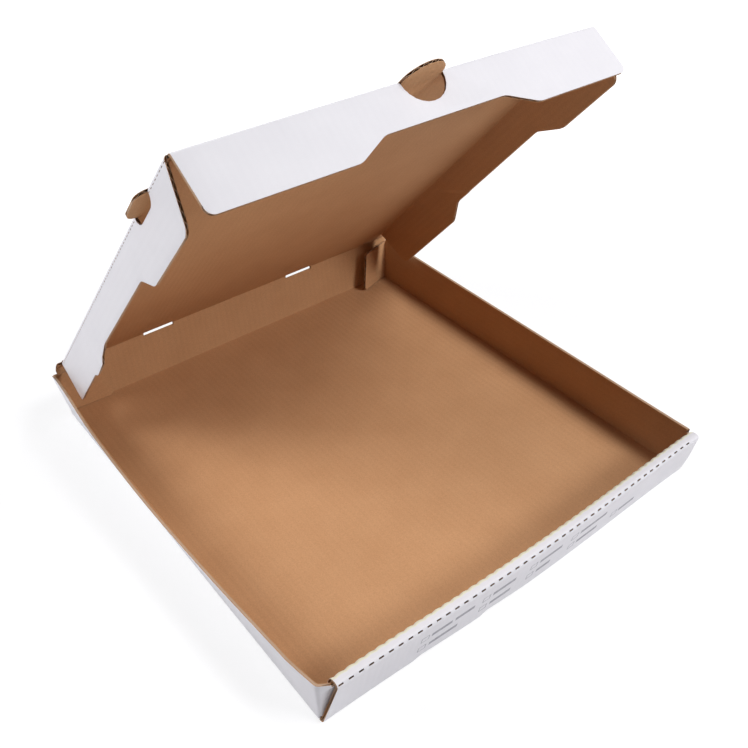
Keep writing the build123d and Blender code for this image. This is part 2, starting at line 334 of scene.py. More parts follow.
def paper_material(name, colour, darker, roughness, relief, flute_tint, speck_tint, worn=()):
    """Paper over flutes: its colour clouds towards a darker one, with flute lines, specks and a soft relief.

    A worn band, from one run to another, has lost its white and shows pale yellow.
    """
    material = bpy.data.materials.new(name)
    material.use_nodes = True
    tree = material.node_tree
    shader = tree.nodes["Principled BSDF"]
    shader.inputs["Roughness"].default_value = roughness
    shader.inputs["Specular IOR Level"].default_value = paper_sheen
    surface = node(tree, "ShaderNodeGroup", node_tree=board_surface)
    cloud = node(tree, "ShaderNodeMapRange",
                 {"Value": surface.outputs["Cloud"], "From Min": 0.3, "From Max": 0.7})
    base = node(tree, "ShaderNodeMix", {0: cloud.outputs[0], 6: (*colour, 1), 7: (*darker, 1)},
                data_type="RGBA")
    fluted = node(tree, "ShaderNodeMapRange",
                  {"Value": surface.outputs["Flute"], "From Min": -1.0, "From Max": 1.0,
                   "To Min": 1.0 - flute_tint, "To Max": 1.0})
    lined = toned(tree, base.outputs[2], fluted.outputs[0])
    spot = node(tree, "ShaderNodeMapRange",
                {"Value": surface.outputs["Speck"], "From Min": 0.62, "From Max": 0.72,
                 "To Min": 1.0, "To Max": 1.0 - speck_tint})
    flecked = toned(tree, lined.outputs[2], spot.outputs[0])
    grain = node(tree, "ShaderNodeMapRange",
                 {"Value": surface.outputs["Fibre"], "From Min": 0.3, "From Max": 0.7,
                  "To Min": 1.0 - speck_tint, "To Max": 1.0 + speck_tint / 2})
    top = toned(tree, flecked.outputs[2], grain.outputs[0])
    if worn:
        flat = node(tree, "ShaderNodeUVMap", uv_map="flat")
        spread = node(tree, "ShaderNodeSeparateXYZ", {0: flat.outputs[0]})
        middle = sum(worn) / 2 * millimetre
        half = (worn[1] - worn[0]) / 2 * millimetre
        off = node(tree, "ShaderNodeMath", {0: spread.outputs["Y"], 1: middle}, operation="SUBTRACT")
        off = node(tree, "ShaderNodeMath", {0: off.outputs[0]}, operation="ABSOLUTE")
        band = node(tree, "ShaderNodeMapRange",
                    {"Value": off.outputs[0], "From Min": half, "From Max": half / 2, "To Max": worn_share})
        top = node(tree, "ShaderNodeMix", {0: band.outputs[0], 6: top.outputs[2], 7: worn_yellow},
                   data_type="RGBA")
    tree.links.new(top.outputs[2], shader.inputs["Base Color"])
    bump = node(tree, "ShaderNodeBump", {"Height": surface.outputs["Height"], "Distance": relief})
    tree.links.new(bump.outputs[0], shader.inputs["Normal"])
    return material


white_look = {
    "colour": (0.77, 0.755, 0.795),
    "darker": (0.735, 0.72, 0.762),
    "roughness": 0.5,
    "relief": 0.00003,
    "flute_tint": 0.006,
    "speck_tint": 0.01,
}
white_paper = paper_material("white_paper", **white_look)
brown_paper = paper_material(
    "brown_paper", colour=(0.56, 0.308, 0.156), darker=(0.515, 0.276, 0.135), roughness=0.8,
    relief=0.00007, flute_tint=0.024, speck_tint=0.12,
)
flute_paper = paper_material(
    "flute_paper", colour=(0.50, 0.345, 0.24), darker=(0.44, 0.29, 0.19), roughness=0.8,
    relief=0.00003, flute_tint=0.0, speck_tint=0.05,
)


def make_board(name, outline, place, across, along, holes=(), slits=(), flutes=(), joined=None,
               face=white_paper):
    """A piece of board: white liner outside, brown liner inside, and the wavy flute paper between them.

    Holes go through the whole board, slits through the white liner alone. The flute paper is made in the
    areas whose cut edges show, and joined tells which parts of the outline run on into another piece.
    """
    whole = bmesh.new()
    outside = cut_sheet(outline, across, along, list(holes) + list(slits), joined)
    inside = cut_sheet(outline, across, along, holes, joined)
    add_paper(whole, outside, -half_board, paper - half_board, 0, 1, place)
    add_paper(whole, inside, half_board - paper, half_board, 1, 1, place)
    crest = half_board - 1.5 * paper
    for area in flutes:
        low = min(point[0] for point in area)
        high = max(point[0] for point in area)
        waves = cut_sheet(area, steps(low, high, flute_pitch / flute_steps), along, holes, joined)
        add_paper(whole, waves, -paper / 2, paper / 2, 2, 2, place, crest)
    mesh = bpy.data.meshes.new(name)
    whole.to_mesh(mesh)
    whole.free()
    piece = bpy.data.objects.new(name, mesh)
    bpy.context.scene.collection.objects.link(piece)
    for material in (face, brown_paper, flute_paper):
        mesh.materials.append(material)
    mesh.shade_smooth()
    mesh.set_sharp_from_angle(angle=math.radians(40))
    return piece


inner_foot = board + fold_gap
strip_line = [
    complex(outer_centre(inner_foot) + strip_spacing, inner_foot),
    complex(outer_centre(strip_z) + strip_spacing, strip_z),
    complex(outer_centre(strip_z), strip_z),
    complex(front_y, half_board),
    complex(back_y, half_board),
    complex(hinge.y, hinge.z),
]
strip_place, strip_bends, strip_length = fold_path(strip_line, fold_radius)
inner_crease, outer_crease, front_bottom, rear_bottom = strip_bends
back_wall_end = strip_length - hinge_inset
floor_start = front_bottom[1]
side_start = outer_centre(side_spring) + board + 2 * fold_gap
rear_stop = back_centre(side_spring) - board - fold_gap - crease_inset


def floor_run(y):
    """How far along the strip a place on the floor is."""
    return floor_start + y - strip_place(floor_start).real


def wall_run(z):
    """How far along the strip a height on the back wall is."""
    return rear_bottom[1] + (z - strip_place(rear_bottom[1]).imag) * math.hypot(1, back_slope)


def strip_shape(u, s, depth):
    """Places a point of the flat strip: folded, the inner crease scalloped, the front bowed.

    The floor swells a little. The front's bottom edge is knocked up in two places, sharply on the left and
    dying out to the right.
    """
    across, up = strip_place(s, depth).real, strip_place(s, depth).imag
    near_crease = max(0.0, 1 - abs(s - sum(inner_crease) / 2) / scallop_reach)
    bump = abs(math.sin(math.pi * (u - perforation_first) / perforation_pitch)) - 0.5
    across += scallop * near_crease * bump
    fade = min(1.0, max(0.0, (s - floor_start) / front_bow_reach))
    across -= front_bow * (1 - (u / (tray_width / 2)) ** 2) ** 2 * (1 - fade) ** 2
    near_edge = max(0.0, 1 - abs(s - sum(front_bottom) / 2) / dent_height)
    for start, lift in front_dents:
        up += lift * near_edge * max(0.0, min(1 + (u - start) / dent_rise, 1 - (u - start) / dent_fade))
    if s > floor_start and s < rear_bottom[0]:
        edge = min(1.0, (s - floor_start) / floor_swell_edge, (rear_bottom[0] - s) / floor_swell_edge)
        up += edge * ripple(u, s, floor_swell_size, floor_swell)
    return (u, across, up)


def strip_end(side):
    """The outline of one end of the strip, from the lock tab round to the hinge."""
    low, high = front_ends[side]
    spread, top = back_ends[side]
    tab_far = lock_tab_place + lock_tab_width / 2
    tab_near = lock_tab_place - lock_tab_width / 2
    points = [
        (tab_near, 0, 0),
        (tab_near, -lock_tab_drop, lock_tab_corner),
        (tab_far, -lock_tab_drop, lock_tab_corner),
        (tab_far, 0, 0),
        (inner_half, 0, 0),
        (inner_half, inner_crease[0], 0),
        (high, inner_crease[1], 0),
        (high, outer_crease[0], 0),
        (low, front_bottom[0] - front_foot_rise, front_corner_radius[side]),
        (tray_width / 2 - floor_lip_inset, front_bottom[1], 0),
        (tray_width / 2 - floor_lip_inset, floor_run(side_start), 0),
        (floor_half, floor_run(side_start), 0),
        (floor_half, floor_run(rear_stop + fold_gap), 0),
        (tray_width / 2 - back_foot_inset[side], floor_run(rear_stop + fold_gap), 0),
        (tray_width / 2 - back_foot_inset[side], wall_run(side_spring), 0),
        (spread, wall_run(hinge.z - half_board - back_corner_drop), back_corner_radius),
        (top, back_wall_end, 0),
    ]
    return [(side * u, s, radius) for u, s, radius in points][::side]


slot_run = floor_run(outer_centre(half_board) + strip_spacing)
slot_half = lock_tab_width / 2 + lock_slot_play
slot_reach = half_board + lock_slot_play / 2
lock_slots = []
for side in (-1, 1):
    middle = side * lock_tab_place
    lock_slots.append((middle - slot_half, middle + slot_half, slot_run - slot_reach, slot_run + slot_reach))
dashes = []
for index in range(perforation_count):
    middle = perforation_first + index * perforation_pitch
    centre = (outer_crease[0] + outer_crease[1]) / 2
    dashes.append((middle - perforation_length / 2, middle + perforation_length / 2,
                   centre - perforation_width / 2, centre + perforation_width / 2))
wall_spacing = 12
front_spacing = 6
floor_spacing = 24
strip_rows = fold_lines(strip_bends) + steps(0, inner_crease[0], wall_spacing)
strip_rows += steps(outer_crease[1], front_bottom[0], front_spacing)
strip_rows += steps(floor_start, rear_bottom[0], floor_spacing)
strip_rows += steps(rear_bottom[1], back_wall_end, wall_spacing)
half_pitches = range(-1, 2 * perforation_count)
strip_columns = [perforation_first + index / 2 * perforation_pitch for index in half_pitches]
worn_start = 0.6
worn_overrun = 0.3
worn_band = (inner_crease[0] + worn_start, inner_crease[1] + worn_overrun)
creased_paper = paper_material("creased_white_paper", **white_look, worn=worn_band)


def strip_joint(u, s):
    """Whether a point of the strip's outline runs on into a side wall or the lid."""
    along_floor = abs(abs(u) - floor_half) < joint_tolerance and s > floor_start
    return along_floor or s > back_wall_end - joint_tolerance


end_flute_depth = 9.0
past_lock_tab = lock_tab_place + lock_tab_width / 2 + 10
end_flutes = []
for side in (-1, 1):
    inner = side * (front_ends[side][1] - end_flute_depth)
    last = floor_run(side_start) + 1
    outer = [(u, s, 0) for u, s, radius in strip_end(side) if side * u > past_lock_tab and s < last]
    end_flutes.append(outer + [(inner, outer[-1][1], 0), (inner, outer[0][1], 0)])
tray_strip = make_board(
    "tray_strip", strip_end(1) + strip_end(-1), strip_shape, strip_columns, strip_rows,
    lock_slots + dashes, (), end_flutes, strip_joint, creased_paper,
)
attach(tray_strip, "tray")
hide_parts("base_tray")

# Side walls of the same board. Each is scored along the floor, leans out where the box has been pulled about,
# turns the front corner and ends in a flap that is locked inside the rolled front wall.
wall_top = 47.8
front_flap_reach = 45.0
front_flap_taper = 9.0
left_leans = [5.0, 9.0, 14.0, 17.0, 15.0, 9.0]
right_leans = [0.6, 0.6, 1.8, 3.0, 4.2, 5.4]
lean_places = [-203.0, -180.0, -91.6, 10.2, 111.9, 197.0]
plan_start = 100.0
wall_out = tray_width / 2 - half_board
corner_y = outer_centre(side_spring) + board + fold_gap
corner_clear = {-1: 7.5, 1: -0.5}
forward_start = 6.0
forward_length = 16.0


def lean_at(y, leans):
    """How far the top of a side wall leans out at a place along it, on a curve through the known leans."""
    last = len(leans) - 2
    span = next((i for i in range(last) if y < lean_places[i + 1]), last)
    share = min(1.0, max(0.0, (y - lean_places[span]) / (lean_places[span + 1] - lean_places[span])))
    before, after = leans[max(span - 1, 0)], leans[min(span + 2, len(leans) - 1)]
    low, high = leans[span], leans[span + 1]
    slope_low, slope_high = (high - before) / 2, (after - low) / 2
    square, cube = share * share, share ** 3
    return (low * (2 * cube - 3 * square + 1) + slope_low * (cube - 2 * square + share)
            + high * (3 * square - 2 * cube) + slope_high * (cube - square))


section_line = [
    complex(floor_half, half_board),
    complex(wall_out, half_board),
    complex(wall_out, wall_top),
]
section_place, section_bends, wall_length = fold_path(section_line, fold_radius)
plan_line = [
    complex(plan_start, wall_out),
    complex(corner_y, wall_out),
    complex(corner_y, wall_out - front_flap_reach),
]
plan_place, plan_bends, plan_length = fold_path(plan_line, fold_radius, 1)


def side_shape(side, leans):
    """A function that places a point of a flat side wall, given as height and distance along it."""
    def shape(height, run, depth):
        section = section_place(height, depth)
        plan = plan_place(run, wall_out - section.real)
        rise = max(0.0, section.imag - side_spring) / (wall_top - side_spring)
        y = plan.real
        forward = min(1.0, max(0.0, (run - corner_run + forward_start) / forward_length))
        out = plan.imag + lean_at(plan_start - run, leans) * rise
        y -= front_slope * max(0.0, section.imag - side_spring) * forward * forward * (3 - 2 * forward)
        return (side * out, y, section.imag)
    return shape


def height_run(z):
    """How far up the flat side wall a height is."""
    return wall_length - (wall_top - z)


corner_run = sum(plan_bends[0]) / 2
rear_run = plan_start - rear_stop
rear_run_top = rear_run - back_slope * (wall_top - side_spring)


def wall_outline(side):
    """The outline of a side wall, as height and distance along it. Its end flap is lower than the wall."""
    flap_top = height_run(strip_top - board - fold_gap)
    return [
        (0, rear_run, 0),
        (height_run(side_spring), rear_run, 0),
        (wall_length, rear_run_top, 0),
        (wall_length, corner_run + corner_clear[side], 0),
        (flap_top, corner_run + corner_clear[side], 0),
        (flap_top, plan_length, 0),
        (height_run(side_spring + front_flap_taper), plan_length, 0),
        (height_run(side_spring - 1), plan_length - front_flap_taper, 0),
        (height_run(side_spring - 1), plan_start - side_start, 0),
        (0, plan_start - side_start, 0),
    ]


height_spacing = 10
wall_rows = fold_lines(plan_bends) + steps(rear_run_top, plan_bends[0][0], wall_spacing)
wall_rows += steps(plan_bends[0][1], plan_length, wall_spacing)
wall_columns = fold_lines(section_bends) + steps(section_bends[0][1], wall_length, height_spacing)
for side, name, leans in ((-1, "left", left_leans), (1, "right", right_leans)):
    side_wall = make_board(
        f"{name}_side_wall", wall_outline(side), side_shape(side, leans), wall_columns, wall_rows,
        flutes=[wall_outline(side)], joined=lambda u, s: u < joint_tolerance,
    )
    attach(side_wall, "tray")

# Print on the front wall: small empty boxes to tick, each with a plain grey bar or two beside it. It is a
# film of grey ink that the press lays on the white paper before the blank is folded.
ink_rise = 0.03
ink_piece = 6.0
ink_line = 0.7
tick_box = (7.5, 6.2)
bar_height = 4.0
print_rows = {"upper": 30.0, "lower": 17.3}
print_places = [
    ("upper", -119.6, ((-109.5, -90.0), (-87.0, -68.0))),
    ("lower", -120.0, ((-109.5, -82.0),)),
    ("upper", -59.6, ((-49.0, -25.0),)),
    ("lower", -59.9, ((-49.0, -27.0),)),
    ("upper", -8.9, ((2.0, 27.5),)),
    ("lower", -9.2, ((2.0, 18.0),)),
    ("upper", 39.0, ((50.0, 83.0),)),
    ("lower", 39.5, ((50.0, 76.0),)),
    ("lower", 94.8, ((105.0, 126.0),)),
]
print_mesh = bmesh.new()


def ink(left, right, low, high):
    """A flat patch of ink, from left to right and from one height to another, cut so that it can bend."""
    corners = [(left, low, 0), (right, low, 0), (right, high, 0), (left, high, 0)]
    patch = print_mesh.faces.new([print_mesh.verts.new(corner) for corner in corners])
    geometry = [patch, *patch.edges, *patch.verts]
    pieces = max(1, round((right - left) / ink_piece))
    for index in range(1, pieces):
        place = left + (right - left) * index / pieces
        cut = bmesh.ops.bisect_plane(print_mesh, geom=geometry, dist=cut_tolerance,
                                     plane_co=(place, 0, 0), plane_no=(1, 0, 0))
        geometry = cut["geom"]


for row, left, bars in print_places:
    middle = print_rows[row]
    low, high = middle - tick_box[1] / 2, middle + tick_box[1] / 2
    right = left + tick_box[0]
    ink(left, right, high - ink_line, high)
    ink(left, right, low, low + ink_line)
    ink(left, left + ink_line, low + ink_line, high - ink_line)
    ink(right - ink_line, right, low + ink_line, high - ink_line)
    for bar_left, bar_right in bars:
        ink(bar_left, bar_right, middle - bar_height / 2, middle + bar_height / 2)
made = bmesh.ops.extrude_face_region(print_mesh, geom=print_mesh.faces[:])
for item in made["geom"]:
    if isinstance(item, bmesh.types.BMVert):
        item.co.z = ink_rise
crease_height = strip_place(outer_crease[1]).imag
for vert in print_mesh.verts:
    run = outer_crease[1] + (crease_height - vert.co.y) * math.hypot(1, front_slope)
    vert.co = Vector(strip_shape(vert.co.x, run, -half_board - vert.co.z)) * millimetre
print_mesh.normal_update()
bmesh.ops.recalc_face_normals(print_mesh, faces=print_mesh.faces[:])
print_data = bpy.data.meshes.new("tick_boxes")
print_mesh.to_mesh(print_data)
print_mesh.free()
tick_boxes = bpy.data.objects.new("tick_boxes", print_data)
bpy.context.scene.collection.objects.link(tick_boxes)
grey_ink = bpy.data.materials.new("grey_ink")
grey_ink.use_nodes = True
tree = grey_ink.node_tree
shader = tree.nodes["Principled BSDF"]
shader.inputs["Roughness"].default_value = 0.6
ink_place = node(tree, "ShaderNodeTexCoord")
ink_cloud = node(tree, "ShaderNodeTexNoise",
                 {"Vector": ink_place.outputs["Object"], "Scale": 250.0, "Detail": 3.0})
ink_tone = node(tree, "ShaderNodeMapRange",
                {"Value": ink_cloud.outputs["Fac"], "From Min": 0.35, "From Max": 0.65})
ink_dark = (0.30, 0.29, 0.33, 1)
ink_pale = (0.40, 0.39, 0.43, 1)
ink_colour = node(tree, "ShaderNodeMix", {0: ink_tone.outputs[0], 6: ink_dark, 7: ink_pale}, data_type="RGBA")
tree.links.new(ink_colour.outputs[2], shader.inputs["Base Color"])
print_data.materials.append(grey_ink)
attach(tick_boxes, "tray")

# Rear corner flaps of the same board. Each hangs on the rear edge of a side wall and lies loose in front of
# the back wall. The right one has sprung away from it.
rear_flap_reach = 44.0
rear_flap_low = 3.4
rear_flap_top = 44.6
rear_flap_taper = 3.0
rear_flap_corner = 1.5
rear_flap_angles = {"left": 2.0, "right": 18.0}
for side, name in ((-1, "left"), (1, "right")):
    joint = folds[f"{name}_rear_fold"]
    foot = Vector(joint["pos_m"]) / millimetre
    axis = Vector(joint["axis"]) * (1 if joint["axis"][2] > 0 else -1)
    wall_in = Vector((0, -1, back_slope)).normalized()
    inward = wall_in.cross(axis).normalized()
    inward = inward if inward.x * side < 0 else -inward
    rearward = -wall_in + wall_in.dot(axis) * axis
    rearward = (rearward - rearward.dot(inward) * inward).normalized()
    flap_line = [
        complex(-crease_inset, 0),
        complex(0, 0),
        rear_flap_reach * cmath.exp(1j * math.radians(90 + rear_flap_angles[name])),
    ]
    flap_place, flap_bends, flap_length = fold_path(flap_line, fold_radius)
    flap_start = flap_bends[0][1]

    def rear_shape(height, run, depth, foot=foot, axis=axis, rearward=rearward, inward=inward,
                   place=flap_place):
        at = place(run, depth)
        return foot + axis * height + rearward * at.real + inward * at.imag

    def height_at(reach, z, foot=foot, axis=axis, inward=inward):
        return (z - foot.z - reach * inward.z) / axis.z

    rear_outline = [
        (height_at(0, rear_flap_low), 0, 0),
        (height_at(0, rear_flap_top), 0, 0),
        (height_at(0, rear_flap_top), flap_start, 0),
        (height_at(rear_flap_reach, rear_flap_top), flap_length - rear_flap_taper, rear_flap_corner),
        (height_at(rear_flap_reach, rear_flap_low + 2 * rear_flap_corner), flap_length, 0),
        (height_at(rear_flap_reach, rear_flap_low), flap_length - rear_flap_taper, 0),
        (height_at(0, rear_flap_low), flap_start, 0),
    ]
    rear_flap = make_board(
        f"{name}_rear_corner_flap", rear_outline, rear_shape, steps(0, rear_flap_top, height_spacing),
        fold_lines(flap_bends) + steps(flap_start, flap_length, height_spacing), flutes=[rear_outline],
        joined=lambda u, s: s < joint_tolerance,
    )
    start = foot - rearward * crease_inset
    end = foot + inward * crease_inset
    middle_z = axis * (rear_flap_top / 2)
    blend_start = (start + middle_z) * millimetre
    blend_end = (end + middle_z) * millimetre
    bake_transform(rear_flap, "tray", f"{name}_rear_flap", blend_start, blend_end)
    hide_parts(f"{name}_rear_flap")

# Lid panel, a large plain square of the same board. It carries the hinge fold along the top of the back wall,
# and its three vent tabs stay in its plane where the flaps fold away from them.
lid_open = 51.1
lid_reach = 405.0
lid_bow = 1.5
lid_corner_pull = 3.5
lid_half_front = 194.6
lid_half_rear = {-1: 198.6, 1: 196.6}
lid_tongue = 9.0
lid_tongue_half = 204.0
lid_tongue_corner = 1.0
lid_tongue_spread = {-1: 0.0, 1: 3.0}
lid_foot_out = 0.8
lid_foot_step = 0.5
lid_fold_radius = 3.0
hinge_margin = 0.5
lid_spacing = 20
vent_spacing = 3
vent_radius = 19.7
vent_centre = 4.6
vent_play = 0.5
vent_round_slack = 0.2
side_vent_front = 362.0
side_vent_rear = 324.0
side_vent_depth = 9.5
side_vent_corner = 8.5
side_front = 403.0
side_rear = 14.0
hinge_slot_half = 17.25
hinge_slot_places = [-93.5, 82.5]
hinge_slot_in_lid = 2.5
lid_heading = cmath.exp(1j * math.radians(180 - lid_open))
wall_heading = complex(back_slope, 1) / abs(complex(back_slope, 1))
hinge_point = complex(hinge.y, hinge.z)
lid_line = [
    hinge_point - wall_heading * hinge_inset,
    hinge_point,
    hinge_point + lid_heading * (lid_reach + vent_radius * 2),
]
lid_place, lid_bends, lid_length = fold_path(lid_line, lid_fold_radius)
lid_start = lid_length - lid_reach - vent_radius * 2


def side_half(side, reach):
    """Half width of the lid at a distance from the hinge."""
    return lid_half_rear[side] + (lid_half_front - lid_half_rear[side]) * reach / lid_reach


def lid_warp(u, reach):
    """How far the front of the lid is drawn back: a little at its corners, more at the right one."""
    near = max(0.0, min(1.0, reach / lid_reach)) ** 3
    share = u / lid_half_front
    return -near * (lid_bow * share * share + lid_corner_pull * max(0.0, share) ** 2)


def lid_shape(u, reach, depth):
    """Places a point of the flat lid, given by its distance from the hinge."""
    at = lid_place(reach + lid_start + lid_warp(u, reach), depth)
    return (u, at.real, at.imag)


def panel_side(side):
    """One side of the lid panel's outline, from the hinge round to the front vent tab."""
    fold_line = {reach: side_half(side, reach) - crease_inset
                 for reach in (side_rear, side_vent_rear, side_vent_front, side_front, lid_reach)}
    vent_out = side_vent_depth - vent_play
    tab_edge = side * vent_centre + vent_radius - vent_play
    points = [
        (back_ends[side][1], -lid_start, 0),
        (lid_tongue_half + lid_tongue_spread[side], 0, 0),
        (lid_tongue_half, lid_tongue, lid_tongue_corner),
        (side_half(side, lid_tongue) + lid_foot_out, lid_tongue, 0),
        (side_half(side, side_rear) + lid_foot_out, side_rear - lid_foot_step, 0),
        (fold_line[side_rear], side_rear - lid_foot_step, 0),
        (fold_line[side_rear], side_rear, 0),
        (fold_line[side_vent_rear], side_vent_rear + vent_play, 0),
        (side_half(side, side_vent_rear) + vent_out, side_vent_rear + vent_play, side_vent_corner),
        (side_half(side, side_vent_front) + vent_out, side_vent_front - vent_play, side_vent_corner),
        (fold_line[side_vent_front], side_vent_front - vent_play, 0),
        (fold_line[side_front], side_front - 1, 0),
        (fold_line[lid_reach], lid_reach - crease_inset, 0),
        (tab_edge, lid_reach - crease_inset, 0),
        (tab_edge, lid_reach + vent_radius - vent_play, vent_radius - vent_play - vent_round_slack),
    ]
    return [(side * u, reach, radius) for u, reach, radius in points][::side]


panel_right = panel_side(1)
panel_left = panel_side(-1)
hinge_slots = []
for place in hinge_slot_places:
    hinge_slots.append((place - hinge_slot_half, place + hinge_slot_half, -lid_start - 1, hinge_slot_in_lid))
lid_rows = fold_lines([(low - lid_start, high - lid_start) for low, high in lid_bends])
lid_rows += steps(hinge_slot_in_lid, lid_reach, lid_spacing)
lid_rows += steps(lid_reach, lid_reach + vent_radius, vent_spacing)
front_tab_area = [
    (vent_centre + vent_radius - vent_play, lid_reach - 2 * crease_inset, 0),
    panel_right[-1],
    panel_left[0],
    (vent_centre - vent_radius + vent_play, lid_reach - 2 * crease_inset, 0),
]
tab_areas = [front_tab_area]
for side in (-1, 1):
    inner = side * (side_half(side, side_vent_rear) - 2 * crease_inset)
    outer = side * (side_half(side, side_vent_rear) + side_vent_depth - vent_play)
    tab_areas.append([
        (inner, side_vent_rear + vent_play, 0),
        (outer, side_vent_rear + vent_play, side_vent_corner),
        (outer, side_vent_front - vent_play, side_vent_corner),
        (inner, side_vent_front - vent_play, 0),
    ])


def lid_joint(u, reach):
    """Whether a point of the panel's outline runs on into the back wall or a flap."""
    at_hinge = reach < joint_tolerance - lid_start or reach < -hinge_margin
    at_side = abs(side_half(1 if u > 0 else -1, reach) - crease_inset - abs(u)) < 2 * joint_tolerance
    at_front = abs(reach - lid_reach + crease_inset) < joint_tolerance
    return at_hinge or at_side or at_front


lid_panel = make_board(
    "lid_panel_board", panel_right + panel_left, lid_shape,
    steps(-lid_half_front, lid_half_front, lid_spacing), lid_rows, hinge_slots,
    flutes=tab_areas, joined=lid_joint,
)
blend_low = Vector((0, hinge.y - back_slope * hinge_inset, hinge.z - hinge_inset))
blend_high = Vector((0, hinge.y + lid_heading.real * hinge_inset, hinge.z + lid_heading.imag * hinge_inset))
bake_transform(lid_panel, "tray", "lid", blend_low * millimetre, blend_high * millimetre)
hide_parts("lid_panel")

# Front flap of the lid, of the same board and scored along its crease. It has two deep ears, a shallow
# middle and the half-round notch that the vent tab leaves.
ear_depth = 45.0
waist_depth = 32.0
front_flap_half = 192.4
front_flap_foot = 184.0
front_waist_half = 56.3
front_ear_half = 83.6
front_waist_offset = 8.5
ear_corner = 6.0
step_corner = 3.0
front_flap_spacing = 16
flap_line = [complex(-crease_inset, 0), complex(0, 0), complex(0, -ear_depth)]
flap_section, section_turns, flap_run = fold_path(flap_line, fold_radius, -1)
crease_run = flap_run - ear_depth


def lid_point(x, reach, outward):
    """A point in the frame of the open lid: across, out from the hinge, and out of its white face."""
    normal = -1j * lid_heading
    at = hinge_point + lid_heading * reach + normal * outward
    return Vector((x, at.real, at.imag))


def front_shape(u, drop, depth):
    """Places a point of the flat front flap, given by how far it is below the crease."""
    at = flap_section(drop + crease_run, depth)
    lower = max(0.0, min(1.0, drop / ear_depth))
    return lid_point(u, lid_reach + at.real + lid_warp(u, lid_reach) * (1 - lower), at.imag)


front_outline = [
    (-front_flap_half, -crease_run, 0),
    (vent_centre - vent_radius, -crease_run, 0),
    (vent_centre - vent_radius, vent_radius, vent_radius - vent_round_slack),
    (vent_centre + vent_radius, vent_radius, vent_radius - vent_round_slack),
    (vent_centre + vent_radius, -crease_run, 0),
    (front_flap_half, -crease_run, 0),
    (front_flap_half, 0, 0),
    (front_flap_foot + ear_corner, ear_depth, ear_corner),
    (front_waist_offset + front_ear_half, ear_depth, step_corner),
    (front_waist_offset + front_waist_half, waist_depth, step_corner),
    (front_waist_offset - front_waist_half, waist_depth, step_corner),
    (front_waist_offset - front_ear_half, ear_depth, step_corner),
    (-front_flap_foot - ear_corner, ear_depth, ear_corner),
    (-front_flap_half, 0, 0),
]
flap_rows = fold_lines([(low - crease_run, high - crease_run) for low, high in section_turns])
flap_rows += steps(section_turns[0][1] - crease_run, ear_depth, height_spacing)
front_flap = make_board(
    "lid_front_flap_board", front_outline, front_shape,
    steps(-front_flap_half, front_flap_half, front_flap_spacing), flap_rows,
    flutes=[front_outline], joined=lambda u, s: s < joint_tolerance - crease_run,
)
blend_start = lid_point(0, lid_reach - crease_inset, 0)
blend_end = lid_point(0, lid_reach, -crease_inset)
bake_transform(front_flap, "lid", "front_flap", blend_start * millimetre, blend_end * millimetre)
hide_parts("lid_front_flap")

# Side flaps of the lid, of the same board, with perforated creases and a low vent near the front. The left
# one has a nick in its rear ear and the right one a buckle across it.
side_front_foot = 388.5
side_steps = {-1: (306.0, 287.0), 1: (317.0, 291.5)}
side_waist_rear = 153.0
side_rears = {-1: 9.0, 1: 14.0}
side_ears = {
    -1: [(42.5, 17.5, 3.0), (41.5, 40.0, 0), (40.2, 91.5, 0), (43.0, 98.5, 0.6), (41.0, 124.0, 1.0),
         (37.0, 131.5, 1.5)],
    1: [(ear_depth, 26.0, ear_corner), (ear_depth, 133.0, step_corner)],
}
crease_slit_pitch = 5.4
crease_slit_length = 2.6
crease_slit_width = 0.6
crease_slit_lower = 0.5
crease_slit_start = 0.7
side_splay = {-1: (0.0, 4.0), 1: (2.0, 4.0)}
buckle_reach = 118.0
buckle_slant = 1.7
buckle_depth = 1.4
buckle_steep = 6.0
buckle_gentle = 60.0
buckle_fade = 12.0
buckle_before = 20
buckle_after = 90
buckle_spacing = (1.5, 2.0)
buckle_columns = {-1: [], 1: steps(0, ear_depth, buckle_spacing[0])}
buckle_rows = {-1: [], 1: steps(buckle_reach - buckle_before, buckle_reach + buckle_after, buckle_spacing[1])}
